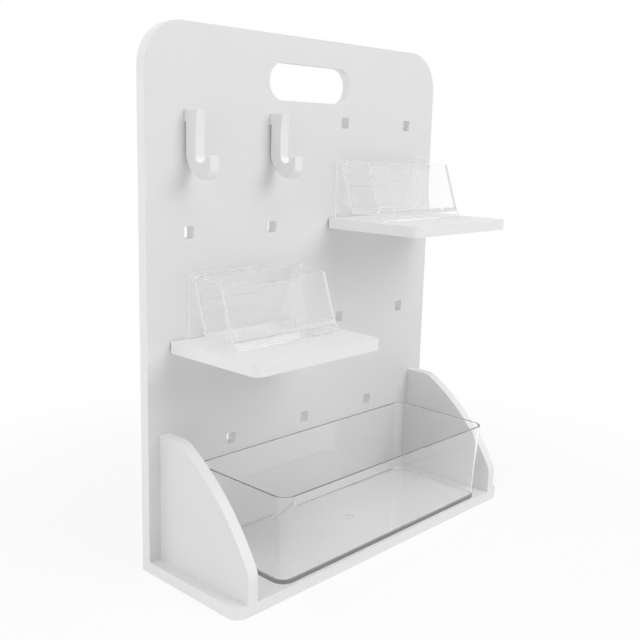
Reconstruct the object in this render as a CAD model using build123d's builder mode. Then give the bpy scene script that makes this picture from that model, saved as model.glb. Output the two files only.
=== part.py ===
from build123d import *
from math import cos, hypot, radians, tan
import os

# A free-standing pegboard organizer: cut sheet panels, clear card holders and a clear drawer tray.
# Millimetres. X runs to the right, Y to the back and Z up, from the table under the footprint's centre.

# Sheet stock and the main panels
sheet = 8.0                     # thickness of every cut panel
board_width = 300.0
board_height = 362.0            # above the base board
board_top_radius = 30.0
board_foot_radius = 4.0
base_depth = 99.0               # from the back panel's rear face to the front edge
base_corner_radius = 9.0

# Peg holes: three full rows and a staggered last row with one hole less
peg_side_inset = 35.25          # from the board's side edge to the first column
peg_top_inset = 59.0            # from the board's top edge to the first row
peg_foot_inset = 73.5           # from the base board to the last row
peg_hole_corner = 0.9
peg_fit = 0.2                   # clearance on each side of a square peg
columns = 4
full_rows = 3

# Grab slot
grab_length = 86.0
grab_height = 26.4
grab_top_inset = 32.2           # from the board's top edge to the slot's centre line

# Side cheeks
cheek_inset = 9.5               # from the board's side edge to the cheek's outer face
cheek_height = 90.0
cheek_flat = 21.0               # level top, back to front, before the slope
cheek_knee = 20.0               # upright front edge under the slope
cheek_bulge = 7.4               # how far the slope bows out from its chord
cheek_blend = 16.0

# Plug-in shelves
shelf_depth = 85.5
shelf_standoff = 1.0            # a shelf is not pushed quite home
shelf_overhang_left = 16.6      # from the left tab's centre to the shelf's left end
shelf_overhang_right = 25.9
shelf_corner_radius = 6.0
tab_short = 0.5                 # how far a tab or peg ends before the board's rear face
seat_gap = 0.05                 # between faces that rest together and slide apart

# Plug-in hooks, seen from the side, with heights measured down from the hook's top
hook_standoff = 1.2             # a hook is not pushed quite home
hook_leg = 10.2
hook_leg_flare = 1.4            # how much deeper the leg is at its top
hook_flare_drop = 14.0
hook_throat_drop = 29.2
hook_throat_radius = 4.7
hook_tip = 5.5                  # thickness of the upturned tip
hook_drop = 44.7
hook_toe_radius = 7.5
hook_heel_drop = 29.8           # where the rear edge turns forward
hook_heel_run = 15.0
hook_heel_bulge = 2.3
hook_tip_round = 1.4
hook_edge_round = 0.8

# Clear card holders, seen from the side, with depths from the rear face and heights from the shelf
holder_width = 100.0
holder_height = 45.0
holder_wall = 2.2
holder_lean = 19.0              # degrees that both card walls lean back
holder_floor = 4.5              # underside of the card floor
holder_floor_thickness = 2.5
holder_heel_depth = 18.0        # rear face of the leaning back wall, at the floor's underside
holder_front_depth = 46.5       # front face of the front wall, at the floor's underside
holder_foot_reach = 4.2         # how far the front foot runs on to the front
holder_front_height = 41.5
holder_side_drop = 1.0          # how far the side walls end under the top
holder_ridge = 2.8              # height of the ridge that joins the rear plate and the back wall
holder_end_round = 0.4          # along the edges of both end faces
notch_depth = 3.2
notch_length = 47.0             # along its bottom
notch_slope = 3.5               # run of each sloping end
holder_back_gap = 0.6           # from the board to a holder's rear plate
holder_lower_margin = 14.6      # from the lower shelf's left end to its holder
holder_upper_margin = 6.2

# Clear drawer tray
tray_height = 62.4
tray_draft = 2.0                # degrees
tray_wall = 1.8
tray_floor = 2.6
tray_corner_radius = 10.0
tray_gap_left = 22.0            # from the left cheek to the tray's rim
tray_gap_right = 11.0
tray_gap_back = 0.4
tray_inner_blend = 1.6
tray_foot_round = 0.4           # around the underside
tray_rim_round = 0.5
gate_mark_radius = 3.6          # moulding mark under the tray's floor
gate_mark_depth = 0.5

# Countersunk screws
screw_radius = 1.5
screw_head_radius = 3.1
screw_length = 22.0
screw_point = 3.0
screw_play = 0.05               # between a screw and its hole
head_sink = 0.15                # how far a head sits under the surface
recess_span = 3.6
recess_slot = 0.9
recess_depth = 1.2
board_screw_inset = 45.0        # from the board's side edge to the outer screws in its lower edge
cheek_screw_front_inset = 28.0  # from the base's front edge to the front screw under a cheek
cheek_screw_rear_inset = 22.0   # from the board's front face to the rear one
cheek_screw_low = 24.0          # heights above the base of the screws through the board
cheek_screw_high_inset = 24.0   # from the cheek's top

# Anti-slip pads, let into the underside of the base
pad_radius = 7.0
pad_thickness = 1.0
pad_recess = 0.5
pad_play = 0.1
pad_inset = 12.0                # from the base's edges to a pad's centre

# Worked out from the sizes above
base_bottom = pad_thickness - pad_recess
base_top = base_bottom + sheet
board_top = base_top + board_height
board_rear = base_depth / 2
board_front = board_rear - sheet
base_front = -base_depth / 2
bay_depth = base_depth - sheet
peg_hole = sheet + 2 * peg_fit
column_pitch = (board_width - 2 * peg_side_inset) / (columns - 1)
row_pitch = (board_height - peg_top_inset - peg_foot_inset) / full_rows
first_row = board_top - peg_top_inset
second_row = first_row - row_pitch
third_row = second_row - row_pitch
last_row = third_row - row_pitch
cheek_inner = board_width / 2 - cheek_inset - sheet
cheek_centre = cheek_inner + sheet / 2
shelf_width = shelf_overhang_left + column_pitch + shelf_overhang_right
sides = {"left": -1, "right": 1}
ends = {"front": -1, "rear": 1}

board_screw_x = board_width / 2 - board_screw_inset
board_screw_places = [(x, board_rear - sheet / 2) for x in (-board_screw_x, 0, board_screw_x)]
cheek_screw_depths = [board_front - cheek_screw_rear_inset, base_front + cheek_screw_front_inset]
cheek_screw_heights = [base_top + cheek_screw_low, base_top + cheek_height - cheek_screw_high_inset]


def column_x(column):
    """X of a column of peg holes, counted from the left."""
    return (column - (columns - 1) / 2) * column_pitch


def side_plane(x, y, z):
    """A plane along a side view: its first axis runs to the front, its second up."""
    return Plane(origin=(x, y, z), x_dir=(0, -1, 0), z_dir=(-1, 0, 0))


def facing_down(places, z):
    """Planes at one height from which holes are bored upwards."""
    return [Plane(origin=(x, y, z), z_dir=(0, 0, -1)) for x, y in places]


def facing_back(places, y):
    """Planes at one depth from which holes are bored forwards."""
    return [Plane(origin=(x, y, z), z_dir=(0, 1, 0)) for x, z in places]


def screw_clearance():
    """Bores a screw's way through one sheet, with the seat of its head."""
    CounterSinkHole(
        radius=screw_radius + screw_play,
        counter_sink_radius=screw_head_radius + screw_play + head_sink,
        depth=sheet,
        counter_sink_angle=90,
    )


def screw_pilot():
    """Bores the hole that a screw's shank runs on into."""
    Hole(radius=screw_radius + screw_play, depth=screw_length + head_sink + screw_play - sheet)


# Back panel
with BuildPart() as pegboard:
    with BuildSketch(Plane.XZ.offset(-board_front)):
        with Locations((0, base_top + board_height / 2)):
            panel = Rectangle(board_width, board_height)
        fillet(panel.vertices().group_by(Axis.Y)[-1], board_top_radius)
        fillet(panel.vertices().group_by(Axis.Y)[0], board_foot_radius)
        with Locations((0, board_top - grab_top_inset)):
            SlotOverall(grab_length, grab_height, mode=Mode.SUBTRACT)
        with Locations((0, second_row)):
            with GridLocations(column_pitch, row_pitch, columns, full_rows):
                RectangleRounded(peg_hole, peg_hole, peg_hole_corner, mode=Mode.SUBTRACT)
        with Locations((0, last_row)):
            with GridLocations(column_pitch, row_pitch, columns - 1, 1):
                RectangleRounded(peg_hole, peg_hole, peg_hole_corner, mode=Mode.SUBTRACT)
    extrude(amount=-sheet)
    with Locations(*facing_down(board_screw_places, base_top)):
        screw_pilot()
    rear_places = [(side * cheek_centre, z) for side in sides.values() for z in cheek_screw_heights]
    with Locations(*facing_back(rear_places, board_rear)):
        screw_clearance()

# Base board
pad_places = {
    f"foot_pad_{end}_{side}": (
        sides[side] * (board_width / 2 - pad_inset),
        ends[end] * (base_depth / 2 - pad_inset),
    )
    for end in ends
    for side in sides
}
with BuildPart() as base_board:
    with BuildSketch(Plane.XY.offset(base_bottom)):
        footprint = Rectangle(board_width, base_depth)
        fillet(footprint.vertices().group_by(Axis.Y)[0], base_corner_radius)
    extrude(amount=sheet)
    cheek_places = [(side * cheek_centre, y) for side in sides.values() for y in cheek_screw_depths]
    with Locations(*facing_down(board_screw_places + cheek_places, base_bottom)):
        screw_clearance()
    with BuildSketch(Plane.XY.offset(base_bottom)):
        with Locations(*pad_places.values()):
            Circle(pad_radius + pad_play)
    extrude(amount=pad_recess, mode=Mode.SUBTRACT)


def make_cheek(side):
    """A side cheek: level at the top, then bowed down to a short upright front edge."""
    x = side * cheek_centre
    with BuildPart() as cheek:
        with BuildSketch(side_plane(x, board_front, base_top)) as outline:
            with BuildLine():
                SagittaArc((cheek_flat, cheek_height), (bay_depth, cheek_knee), cheek_bulge)
                Polyline(
                    (bay_depth, cheek_knee),
                    (bay_depth, 0),
                    (0, 0),
                    (0, cheek_height),
                    (cheek_flat, cheek_height),
                )
            make_face()
            shoulder = outline.vertices().group_by(Axis.Y)[-1].sort_by(Axis.X)[-1]
            knee = outline.vertices().group_by(Axis.Y)[1].sort_by(Axis.X)[-1]
            fillet([shoulder, knee], cheek_blend)
        extrude(amount=sheet / 2, both=True)
        with Locations(*facing_down([(x, y) for y in cheek_screw_depths], base_top)):
            screw_pilot()
        with Locations(*facing_back([(x, z) for z in cheek_screw_heights], board_front)):
            screw_pilot()
    return cheek.part


def make_shelf(column, row):
    """A shelf with one tab in the given column of peg holes and one in the next."""
    rear = board_front - shelf_standoff
    with BuildPart() as shelf:
        with BuildSketch(Plane.XY.offset(row - sheet / 2)):
            with Locations((column_x(column) - shelf_overhang_left, rear)):
                plate = Rectangle(shelf_width, shelf_depth, align=(Align.MIN, Align.MAX))
            fillet(plate.vertices().group_by(Axis.Y)[0], shelf_corner_radius)
            with Locations(*[(column_x(column + step), rear) for step in (0, 1)]):
                Rectangle(sheet, sheet - tab_short + shelf_standoff, align=(Align.CENTER, Align.MIN))
        extrude(amount=sheet)
        tab_edges = shelf.edges().filter_by(Axis.Y).filter_by(lambda edge: edge.center().Y > rear)
        fillet(tab_edges, peg_hole_corner)
    return shelf.part


def make_hook(column):
    """A J-hook cut from sheet, with its peg in a hole of the first row."""
    leg_front = hook_standoff + hook_leg
    throat = leg_front + hook_throat_radius
    tip_inner = throat + hook_throat_radius
    tip_front = tip_inner + hook_tip
    with BuildPart() as hook:
        with BuildSketch(side_plane(column_x(column), board_front, first_row + sheet / 2)) as outline:
            with BuildLine():
                Polyline(
                    (hook_standoff, -hook_heel_drop),
                    (hook_standoff, -sheet),
                    (tab_short - sheet, -sheet),
                    (tab_short - sheet, 0),
                    (leg_front + hook_leg_flare, 0),
                    (leg_front, -hook_flare_drop),
                    (leg_front, -hook_throat_drop),
                )
                ThreePointArc(
                    (leg_front, -hook_throat_drop),
                    (throat, -hook_throat_drop - hook_throat_radius),
                    (tip_inner, -hook_throat_drop),
                )
                Polyline(
                    (tip_inner, -hook_throat_drop),
                    (tip_front, -hook_throat_drop),
                    (tip_front, -hook_drop),
                    (hook_heel_run, -hook_drop),
                )
                SagittaArc((hook_heel_run, -hook_drop), (hook_standoff, -hook_heel_drop), hook_heel_bulge)
            make_face()
            front_edge = outline.vertices().group_by(Axis.X)[-1].sort_by(Axis.Y)
            fillet(front_edge[0], hook_toe_radius)
            fillet(front_edge[-1], hook_tip_round)
        extrude(amount=sheet / 2, both=True)
        fillet(hook.faces().filter_by(Axis.X).edges(), hook_edge_round)
    return hook.part


def leaned(depth, height):
    """A point of a card wall that leans back from the given depth at the floor."""
    return depth - (height - holder_floor) * tan(radians(holder_lean)), height


def make_card_holder(left, shelf_row):
    """A clear holder: rear plate, leaning back wall, card floor, notched front wall and front foot."""
    shelf_top = shelf_row + sheet / 2 + seat_gap
    rear = board_front - holder_back_gap
    centre = left + holder_width / 2
    wall_run = holder_wall / cos(radians(holder_lean))
    foot_run = holder_wall * hypot(holder_foot_reach, holder_floor) / holder_floor
    back_wall_front = holder_heel_depth + wall_run
    floor_top = holder_floor + holder_floor_thickness
    ridge_bottom = holder_height - holder_ridge
    profiles = [
        [(0, 0), (holder_wall, 0), (holder_wall, holder_height), (0, holder_height)],
        [
            (0, ridge_bottom),
            leaned(back_wall_front, ridge_bottom),
            leaned(back_wall_front, holder_height),
            (0, holder_height),
        ],
        [
            leaned(holder_heel_depth, holder_floor),
            leaned(back_wall_front, holder_floor),
            leaned(back_wall_front, holder_height),
            leaned(holder_heel_depth, holder_height),
        ],
        [
            leaned(holder_heel_depth, holder_floor),
            leaned(holder_front_depth, holder_floor),
            leaned(holder_front_depth, floor_top),
            leaned(holder_heel_depth, floor_top),
        ],
        [
            leaned(holder_front_depth, holder_floor),
            leaned(holder_front_depth, holder_front_height),
            leaned(holder_front_depth - wall_run, holder_front_height),
            leaned(holder_front_depth - wall_run, holder_floor),
        ],
        [
            (holder_front_depth, holder_floor),
            (holder_front_depth + holder_foot_reach, 0),
            (holder_front_depth + holder_foot_reach - foot_run, 0),
            (holder_front_depth - foot_run, holder_floor),
        ],
    ]
    with BuildPart() as holder:
        with BuildSketch(side_plane(centre, rear, shelf_top)):
            for profile in profiles:
                with BuildLine():
                    Polyline(*profile, close=True)
                make_face()
        extrude(amount=holder_width / 2, both=True)
        for side in sides.values():
            wall_centre = centre + side * (holder_width - holder_wall) / 2
            with BuildSketch(side_plane(wall_centre, rear, shelf_top)):
                with BuildLine():
                    Polyline(
                        leaned(holder_heel_depth, holder_floor),
                        leaned(holder_front_depth, holder_floor),
                        leaned(holder_front_depth, holder_front_height),
                        leaned(holder_heel_depth, holder_height - holder_side_drop),
                        close=True,
                    )
                make_face()
            extrude(amount=holder_wall / 2, both=True)
        notch_bottom = shelf_top + holder_front_height - notch_depth
        with BuildSketch(Plane.XZ.offset(holder_heel_depth - rear)):
            with BuildLine():
                Polyline(
                    (centre - notch_length / 2, notch_bottom),
                    (centre + notch_length / 2, notch_bottom),
                    (centre + notch_length / 2 + 2 * notch_slope, notch_bottom + 2 * notch_depth),
                    (centre - notch_length / 2 - 2 * notch_slope, notch_bottom + 2 * notch_depth),
                    close=True,
                )
            make_face()
        extrude(amount=holder_front_depth - holder_heel_depth, mode=Mode.SUBTRACT)
        for end in (0, -1):
            end_face = holder.faces().filter_by(Axis.X).sort_by(Axis.X)[end]
            fillet(end_face.edges(), holder_end_round)
    return holder.part


# Drawer tray
tray_left = tray_gap_left - cheek_inner
tray_right = cheek_inner - tray_gap_right
tray_rear = board_front - tray_gap_back
tray_width = tray_right - tray_left
tray_depth = tray_rear - base_front
tray_middle = ((tray_left + tray_right) / 2, (tray_rear + base_front) / 2)
tray_bottom = base_top + seat_gap


def tray_section(height, wall):
    """The tray's outline at a height above its underside, drawn in by a wall's thickness."""
    inset = (tray_height - height) * tan(radians(tray_draft)) + wall
    with BuildSketch(Plane.XY.offset(tray_bottom + height)) as section:
        with Locations(tray_middle):
            RectangleRounded(tray_width - 2 * inset, tray_depth - 2 * inset, tray_corner_radius - wall)
    return section.sketch


with BuildPart() as drawer_tray:
    loft(sections=[tray_section(0, 0), tray_section(tray_height, 0)])
    fillet(drawer_tray.faces().sort_by(Axis.Z)[0].edges(), tray_foot_round)
    loft(sections=[tray_section(tray_floor, tray_wall), tray_section(tray_height, tray_wall)], mode=Mode.SUBTRACT)
    floor_face = drawer_tray.faces().filter_by(Axis.Z).group_by(Axis.Z)[1]
    fillet(floor_face.edges(), tray_inner_blend)
    fillet(drawer_tray.faces().sort_by(Axis.Z)[-1].edges(), tray_rim_round)
    with BuildSketch(Plane.XY.offset(tray_bottom)):
        with Locations(tray_middle):
            Circle(gate_mark_radius)
    extrude(amount=gate_mark_depth, mode=Mode.SUBTRACT)

# One countersunk screw along +Z, with the face of its head at the origin
with BuildPart() as screw:
    with BuildSketch(Plane.XZ):
        with BuildLine():
            Polyline(
                (0, 0),
                (screw_head_radius, 0),
                (screw_radius, screw_head_radius - screw_radius),
                (screw_radius, screw_length - screw_point),
                (0, screw_length),
                close=True,
            )
        make_face()
    revolve(axis=Axis.Z)
    with BuildSketch():
        Rectangle(recess_span, recess_slot)
        Rectangle(recess_slot, recess_span)
    extrude(amount=recess_depth, mode=Mode.SUBTRACT)


def make_upright_screws(places):
    """Screws that stand up through the base board."""
    with BuildPart() as screws:
        with Locations(*[(x, y, base_bottom + head_sink) for x, y in places]):
            add(screw.part)
    return screws.part


def make_level_screws(x):
    """Screws that run forward through the board into a cheek."""
    with BuildPart() as screws:
        with Locations(*[(x, board_rear - head_sink, z) for z in cheek_screw_heights]):
            add(screw.part, rotation=(90, 0, 0))
    return screws.part


def make_pad(place):
    """A round anti-slip pad in its recess."""
    with BuildPart() as pad:
        with BuildSketch():
            with Locations(place):
                Circle(pad_radius)
        extrude(amount=pad_thickness)
    return pad.part


pieces = {
    "pegboard": pegboard.part,
    "base_board": base_board.part,
    "drawer_tray": drawer_tray.part,
    "shelf_lower": make_shelf(0, third_row),
    "shelf_upper": make_shelf(2, second_row),
    "hook_left": make_hook(0),
    "hook_right": make_hook(1),
    "card_holder_lower": make_card_holder(
        column_x(0) - shelf_overhang_left + holder_lower_margin, third_row
    ),
    "card_holder_upper": make_card_holder(
        column_x(2) - shelf_overhang_left + holder_upper_margin, second_row
    ),
    "screws_base_to_board": make_upright_screws(board_screw_places),
}
for side_name, side in sides.items():
    x = side * cheek_centre
    pieces[f"cheek_{side_name}"] = make_cheek(side)
    pieces[f"screws_base_to_cheek_{side_name}"] = make_upright_screws([(x, y) for y in cheek_screw_depths])
    pieces[f"screws_board_to_cheek_{side_name}"] = make_level_screws(x)
for pad_name, place in pad_places.items():
    pieces[pad_name] = make_pad(place)

os.makedirs("parts", exist_ok=True)
for piece_name, piece in pieces.items():
    piece.label = piece_name
    export_step(piece, f"parts/{piece_name}.step")
    print(piece_name, len(piece.solids()), "solids", round(piece.volume, 1), "mm3")
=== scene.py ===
import math

import bmesh
import bpy
from mathutils import Matrix, Vector

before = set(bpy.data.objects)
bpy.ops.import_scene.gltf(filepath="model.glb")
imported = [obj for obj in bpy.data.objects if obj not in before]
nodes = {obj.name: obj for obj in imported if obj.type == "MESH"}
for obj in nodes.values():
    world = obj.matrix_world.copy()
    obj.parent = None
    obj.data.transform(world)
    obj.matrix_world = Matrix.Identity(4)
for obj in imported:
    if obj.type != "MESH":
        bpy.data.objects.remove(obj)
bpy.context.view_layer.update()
print("frame loaded:", len(nodes), "nodes")

# where the photograph was taken from, in the frame's metres and degrees
photoView = {
    "place": (-0.48752, -0.42944, 0.29789),
    "yaw": 46.89,
    "pitch": 11.44,
    "roll": 1.57,
    "lens": 49.95,
    "sensor": 36.0,
    "clip": (0.01, 50.0),
}


def addCamera():
    yaw, pitch, roll = (math.radians(photoView[turn]) for turn in ("yaw", "pitch", "roll"))
    ahead = Vector((math.sin(yaw) * math.cos(pitch), math.cos(yaw) * math.cos(pitch), -math.sin(pitch)))
    level = Vector((math.cos(yaw), -math.sin(yaw), 0))
    upright = level.cross(ahead)
    right = level * math.cos(roll) + upright * math.sin(roll)
    up = upright * math.cos(roll) - level * math.sin(roll)
    data = bpy.data.cameras.new("photoCamera")
    data.lens = photoView["lens"]
    data.sensor_width = photoView["sensor"]
    data.clip_start, data.clip_end = photoView["clip"]
    camera = bpy.data.objects.new("photoCamera", data)
    aim = Matrix((right, up, -ahead)).transposed().to_4x4()
    camera.matrix_world = Matrix.Translation(photoView["place"]) @ aim
    bpy.context.scene.collection.objects.link(camera)
    bpy.context.scene.camera = camera


addCamera()
bpy.context.scene.view_settings.view_transform = "Standard"
print("camera set")


# small helpers for shader trees
def addNode(tree, kind, **settings):
    node = tree.nodes.new(kind)
    for name, value in settings.items():
        setattr(node, name, value)
    return node


def setInputs(node, **values):
    for name, value in values.items():
        node.inputs[name.replace("_", " ")].default_value = value
    return node


def feedSocket(tree, socket, value):
    if isinstance(value, bpy.types.NodeSocket):
        tree.links.new(value, socket)
    else:
        socket.default_value = value


def addMath(tree, operation, *values):
    node = addNode(tree, "ShaderNodeMath", operation=operation)
    for socket, value in zip(node.inputs, values):
        feedSocket(tree, socket, value)
    return node.outputs[0]


def mixColors(tree, blend, factor, first, second):
    node = addNode(tree, "ShaderNodeMix", data_type="RGBA", blend_type=blend)
    for socket, value in ((node.inputs[0], factor), (node.inputs[6], first), (node.inputs[7], second)):
        feedSocket(tree, socket, value)
    return node.outputs[2]


def mixShaders(tree, factor, first, second):
    node = addNode(tree, "ShaderNodeMixShader")
    for socket, source in zip(node.inputs, (factor, first, second)):
        tree.links.new(source, socket)
    return node.outputs["Shader"]


def spread(tree, source, low, high):
    node = setInputs(addNode(tree, "ShaderNodeMapRange"), To_Min=low, To_Max=high)
    tree.links.new(source, node.inputs["Value"])
    return node.outputs["Result"]


def addBump(tree, shader, height, look):
    bump = addNode(tree, "ShaderNodeBump")
    setInputs(bump, Strength=look["bumpStrength"], Distance=look["bumpDistance"])
    tree.links.new(height, bump.inputs["Height"])
    tree.links.new(bump.outputs["Normal"], shader.inputs["Normal"])


# 1 where a thing is looked at directly, in a gloss or through clear plastic
def seenPlainly(tree):
    path = addNode(tree, "ShaderNodeLightPath").outputs
    seen = addMath(tree, "MAXIMUM", path["Is Camera Ray"], path["Is Glossy Ray"])
    return addMath(tree, "MAXIMUM", seen, path["Is Transmission Ray"])


def newMaterial(name):
    material = bpy.data.materials.new(name)
    material.use_nodes = True
    return material, material.node_tree, material.node_tree.nodes["Principled BSDF"]


def newGroup(name, inputs, outputs):
    group = bpy.data.node_groups.new(name, "ShaderNodeTree")
    for socketName, kind, value in inputs:
        socket = group.interface.new_socket(socketName, in_out="INPUT", socket_type=kind)
        socket.default_value = value
    for socketName, kind in outputs:
        group.interface.new_socket(socketName, in_out="OUTPUT", socket_type=kind)
    return group, addNode(group, "NodeGroupInput"), addNode(group, "NodeGroupOutput")


def placeGroup(tree, group, **values):
    return setInputs(addNode(tree, "ShaderNodeGroup", node_tree=group), **values)


# how much of a surface is a cut edge: 0 on the sheet's faces, 1 on the edges
def makeCutEdgeGroup():
    group, given, result = newGroup(
        "cutEdge", [("Thickness Axis", "NodeSocketVector", (0, 1, 0))], [("Mask", "NodeSocketFloat")]
    )
    normal = addNode(group, "ShaderNodeTexCoord").outputs["Normal"]
    along = addNode(group, "ShaderNodeVectorMath", operation="DOT_PRODUCT")
    group.links.new(normal, along.inputs[0])
    group.links.new(given.outputs["Thickness Axis"], along.inputs[1])
    facing = addMath(group, "ABSOLUTE", along.outputs["Value"])
    group.links.new(addMath(group, "SUBTRACT", 1.0, facing), result.inputs["Mask"])
    return group


# a fine even grain, with a slow mottle over it
grainNoise = {"scales": (1000.0, 14.0), "details": (3.0, 2.0), "roughness": 0.55}


def makeGrainGroup():
    parts = ("Grain", "Mottle")
    group, given, result = newGroup(
        "fineGrain",
        [(part + " Scale", "NodeSocketFloat", scale) for part, scale in zip(parts, grainNoise["scales"])],
        [(part, "NodeSocketFloat") for part in parts],
    )
    place = addNode(group, "ShaderNodeTexCoord").outputs["Object"]
    for part, detail in zip(parts, grainNoise["details"]):
        noise = addNode(group, "ShaderNodeTexNoise")
        setInputs(noise, Detail=detail, Roughness=grainNoise["roughness"])
        group.links.new(place, noise.inputs["Vector"])
        group.links.new(given.outputs[part + " Scale"], noise.inputs["Scale"])
        group.links.new(noise.outputs["Fac"], result.inputs[part])
    return group


# fine marks that a cutter leaves across a sheet's edge, and hairline scuffs on clear plastic
streakNoise = {"scale": 600.0, "detail": 2.0, "roughness": 0.6}


def makeStreakGroup():
    group, given, result = newGroup(
        "streaks",
        [("Stretch", "NodeSocketVector", (1, 1, 1)), ("Scale", "NodeSocketFloat", streakNoise["scale"])],
        [("Height", "NodeSocketFloat")],
    )
    place = addNode(group, "ShaderNodeTexCoord").outputs["Object"]
    stretched = addNode(group, "ShaderNodeVectorMath", operation="MULTIPLY")
    group.links.new(place, stretched.inputs[0])
    group.links.new(given.outputs["Stretch"], stretched.inputs[1])
    noise = addNode(group, "ShaderNodeTexNoise")
    setInputs(noise, Detail=streakNoise["detail"], Roughness=streakNoise["roughness"])
    group.links.new(stretched.outputs["Vector"], noise.inputs["Vector"])
    group.links.new(given.outputs["Scale"], noise.inputs["Scale"])
    group.links.new(noise.outputs["Fac"], result.inputs["Height"])
    return group


cutEdgeGroup = makeCutEdgeGroup()
grainGroup = makeGrainGroup()
streakGroup = makeStreakGroup()


# white sheet, cut to shape: satin faces, and rougher cut edges whose colour is painted slightly brighter
# as a highlight
whiteSheet = {
    "face": (0.80, 0.80, 0.798, 1),
    "edge": (0.88, 0.88, 0.875, 1),
    "shade": (0.965, 0.965, 0.97, 1),
    "faceRoughness": (0.42, 0.52),
    "edgeRoughness": 0.16,
    "grainScale": 1400.0,
    "mottleScale": 16.0,
    "mottleStrength": 0.35,
    "cutScale": 900.0,
    "cutStretch": 0.12,
    "bumpDistance": 0.00012,
    "bumpStrength": 0.22,
}


def makeSheetMaterial(name, axis):
    material, tree, shader = newMaterial(name)
    edge = placeGroup(tree, cutEdgeGroup, Thickness_Axis=axis).outputs["Mask"]
    grain = placeGroup(
        tree, grainGroup, Grain_Scale=whiteSheet["grainScale"], Mottle_Scale=whiteSheet["mottleScale"]
    ).outputs
    stretch = [whiteSheet["cutStretch"] if part else 1.0 for part in axis]
    cuts = placeGroup(tree, streakGroup, Stretch=stretch, Scale=whiteSheet["cutScale"]).outputs["Height"]
    # painted highlight: the cut edges get a brighter colour than the faces
    base = mixColors(tree, "MIX", edge, whiteSheet["face"], whiteSheet["edge"])
    mottle = addMath(tree, "MULTIPLY", grain["Mottle"], whiteSheet["mottleStrength"])
    shaded = mixColors(tree, "MULTIPLY", mottle, base, whiteSheet["shade"])
    tree.links.new(shaded, shader.inputs["Base Color"])
    roughness = spread(tree, grain["Mottle"], *whiteSheet["faceRoughness"])
    rougher = addMath(tree, "MULTIPLY", edge, whiteSheet["edgeRoughness"])
    tree.links.new(addMath(tree, "ADD", roughness, rougher), shader.inputs["Roughness"])
    cutHeight = addMath(tree, "MULTIPLY", cuts, edge)
    addBump(tree, shader, addMath(tree, "ADD", grain["Grain"], cutHeight), whiteSheet)
    return material


# clear moulded plastic, with faint scuffs and a slight wave in its faces
clearHolder = {
    "color": (1.0, 1.0, 1.0, 1),
    "ior": 1.49,
    "roughness": (0.01, 0.04),
    "scuffScale": 60.0,
    "scuffStretch": (1.0, 1.0, 3.0),
    "waveScale": 30.0,
    "bumpDistance": 0.0004,
    "bumpStrength": 0.03,
    "shadow": (0.99, 0.99, 0.99, 1),
    "absorbColor": (0.75, 0.75, 0.75, 1),
    "absorbDensity": 1.5,
    # painted glow: the flat grey a wall shows once light has turned inside it a few times
    "caughtLight": (0.74, 0.74, 0.74, 1),
    "caughtTurns": 3.5,
}
clearTray = dict(
    clearHolder,
    ior=1.52,
    roughness=(0.012, 0.045),
    shadow=(0.995, 0.995, 0.995, 1),
    absorbDensity=3.0,
    # dark grey painted glow in the tray's walls, a painted shade that draws its rims as dark lines
    caughtLight=(0.2, 0.2, 0.2, 1),
)


def makeClearMaterial(name, look):
    material, tree, shader = newMaterial(name)
    setInputs(shader, Base_Color=look["color"], IOR=look["ior"], Transmission_Weight=1.0)
    scuffs = placeGroup(tree, streakGroup, Stretch=look["scuffStretch"], Scale=look["scuffScale"])
    tree.links.new(spread(tree, scuffs.outputs["Height"], *look["roughness"]), shader.inputs["Roughness"])
    wave = placeGroup(tree, grainGroup, Mottle_Scale=look["waveScale"]).outputs["Mottle"]
    addBump(tree, shader, wave, look)
    path = addNode(tree, "ShaderNodeLightPath").outputs
    # where light has turned a few times inside a wall, an even grey glow is painted in its place
    caught = setInputs(addNode(tree, "ShaderNodeEmission"), Color=look["caughtLight"], Strength=1.0)
    turned = addMath(tree, "GREATER_THAN", path["Glossy Depth"], look["caughtTurns"])
    wall = mixShaders(tree, turned, shader.outputs["BSDF"], caught.outputs["Emission"])
    # lamps and soft light shine straight through
    opening = setInputs(addNode(tree, "ShaderNodeBsdfTransparent"), Color=look["shadow"])
    through = addMath(tree, "MAXIMUM", path["Is Shadow Ray"], path["Is Diffuse Ray"])
    absorb = addNode(tree, "ShaderNodeVolumeAbsorption")
    setInputs(absorb, Color=look["absorbColor"], Density=look["absorbDensity"])
    output = tree.nodes["Material Output"]
    tree.links.new(mixShaders(tree, through, wall, opening.outputs["BSDF"]), output.inputs["Surface"])
    tree.links.new(absorb.outputs["Volume"], output.inputs["Volume"])
    return material


screwSteel = {
    "light": (0.66, 0.66, 0.67, 1),
    "dark": (0.50, 0.50, 0.52, 1),
    "metallic": 1.0,
    "roughness": (0.26, 0.42),
    "grainScale": 2600.0,
    "bumpDistance": 0.00005,
    "bumpStrength": 0.3,
}
padRubber = {
    "light": (0.055, 0.055, 0.056, 1),
    "dark": (0.030, 0.030, 0.031, 1),
    "metallic": 0.0,
    "roughness": (0.72, 0.9),
    "grainScale": 2200.0,
    "bumpDistance": 0.0001,
    "bumpStrength": 0.5,
}


def makeGrainedMaterial(name, look):
    material, tree, shader = newMaterial(name)
    setInputs(shader, Metallic=look["metallic"])
    grain = placeGroup(tree, grainGroup, Grain_Scale=look["grainScale"]).outputs
    base = mixColors(tree, "MIX", grain["Grain"], look["dark"], look["light"])
    tree.links.new(base, shader.inputs["Base Color"])
    tree.links.new(spread(tree, grain["Mottle"], *look["roughness"]), shader.inputs["Roughness"])
    addBump(tree, shader, grain["Grain"], look)
    return material


# the axis that runs through each panel's thickness
axes = {"X": (1, 0, 0), "Y": (0, 1, 0), "Z": (0, 0, 1)}
sheetAxes = {
    "pegboard": "Y",
    "base_board": "Z",
    "cheek_left": "X",
    "cheek_right": "X",
    "shelf_lower": "Z",
    "shelf_upper": "Z",
    "hook_left": "X",
    "hook_right": "X",
}


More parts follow.
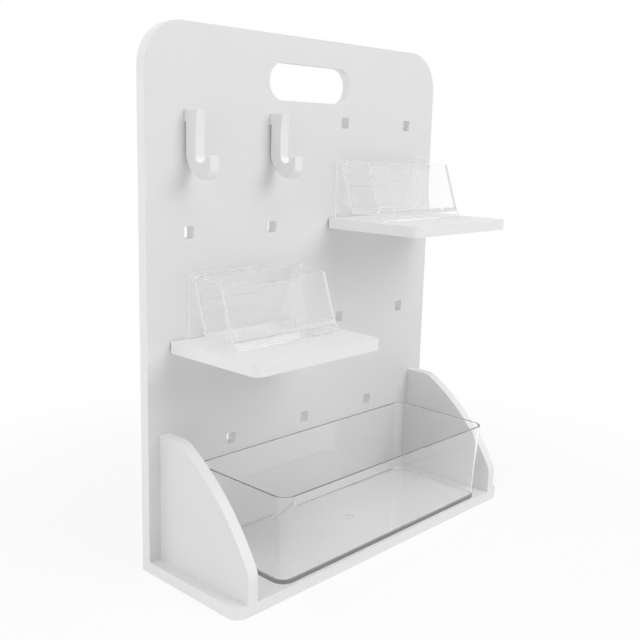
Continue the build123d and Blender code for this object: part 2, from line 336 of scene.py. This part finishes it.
def dressFrame():
    sheets = {letter: makeSheetMaterial("whiteSheet" + letter, axis) for letter, axis in axes.items()}
    finishes = {
        "card_holder": makeClearMaterial("clear_card_holder", clearHolder),
        "drawer_tray": makeClearMaterial("clear_drawer_tray", clearTray),
        "screws": makeGrainedMaterial("screwSteel", screwSteel),
        "foot_pad": makeGrainedMaterial("padRubber", padRubber),
    }
    for name, node in nodes.items():
        if name in sheetAxes:
            material = sheets[sheetAxes[name]]
        else:
            material = next(finish for start, finish in finishes.items() if name.startswith(start))
        for slot in node.material_slots:
            slot.material = material


dressFrame()
print("materials made")

# pale floor: it keeps the shadow under the object and turns plain white further out
floorLook = {
    "radius": 6.0,
    "sides": 96,
    "color": (0.9, 0.9, 0.9, 1),
    "roughness": 0.9,
    "specular": 0.1,
    "rings": (0.22, 0.5),
    "nearWhite": 0.86,
}


def addFloor():
    mesh = bpy.data.meshes.new("floor")
    shape = bmesh.new()
    bmesh.ops.create_circle(
        shape, cap_ends=True, radius=floorLook["radius"], segments=floorLook["sides"]
    )
    shape.to_mesh(mesh)
    shape.free()
    floor = bpy.data.objects.new("floor", mesh)
    bpy.context.scene.collection.objects.link(floor)
    material, tree, shader = newMaterial("floorWhite")
    setInputs(
        shader,
        Base_Color=floorLook["color"],
        Roughness=floorLook["roughness"],
        Specular_IOR_Level=floorLook["specular"],
    )
    glow = setInputs(addNode(tree, "ShaderNodeEmission"), Color=(1, 1, 1, 1), Strength=1.0)
    reach = addNode(tree, "ShaderNodeVectorMath", operation="LENGTH")
    tree.links.new(addNode(tree, "ShaderNodeTexCoord").outputs["Object"], reach.inputs[0])
    near, far = floorLook["rings"]
    fade = addNode(tree, "ShaderNodeMapRange", interpolation_type="SMOOTHSTEP")
    setInputs(fade, From_Min=near, From_Max=far, To_Min=floorLook["nearWhite"], To_Max=1.0)
    tree.links.new(reach.outputs["Value"], fade.inputs["Value"])
    white = addMath(tree, "MULTIPLY", seenPlainly(tree), fade.outputs["Result"])
    surface = mixShaders(tree, white, shader.outputs["BSDF"], glow.outputs["Emission"])
    tree.links.new(surface, tree.nodes["Material Output"].inputs["Surface"])
    mesh.materials.append(material)


# soft studio light: wide lamps in front, above, on the left and behind, and a weak key on the right
lamps = {
    "keyLamp": {"place": (0.9, -0.7, 1.5), "size": 1.2, "power": 2.6},
    "frontLamp": {"place": (0.55, -1.5, 1.1), "size": 1.2, "power": 10.4},
    "topLamp": {"place": (-0.1, -0.25, 1.7), "size": 1.6, "power": 10.2},
    "leftLamp": {"place": (-1.4, -0.2, 0.5), "size": 1.2, "power": 4.9},
    "rearLamp": {"place": (-1.05, 1.0, 0.6), "size": 1.2, "power": 3.5},
}
lampTarget = Vector((0, 0, 0.18))


def addLamps():
    for name, look in lamps.items():
        data = bpy.data.lights.new(name, "AREA")
        data.shape, data.size, data.energy = "DISK", look["size"], look["power"]
        lamp = bpy.data.objects.new(name, data)
        lamp.location = look["place"]
        lamp.rotation_euler = (lampTarget - Vector(look["place"])).to_track_quat("-Z", "Y").to_euler()
        bpy.context.scene.collection.objects.link(lamp)


# soft light from all around, behind a background that is seen as plain white
worldLight = {"ambient": 0.3, "seen": 1.0}


def addWorld():
    world = bpy.data.worlds.new("studio")
    bpy.context.scene.world = world
    world.use_nodes = True
    tree = world.node_tree
    tree.nodes.clear()
    ambient, background = (
        setInputs(addNode(tree, "ShaderNodeBackground"), Color=(1, 1, 1, 1), Strength=worldLight[part])
        for part in ("ambient", "seen")
    )
    surface = mixShaders(tree, seenPlainly(tree), ambient.outputs[0], background.outputs[0])
    tree.links.new(surface, addNode(tree, "ShaderNodeOutputWorld").inputs["Surface"])


addFloor()
addLamps()
addWorld()
print("studio lit")
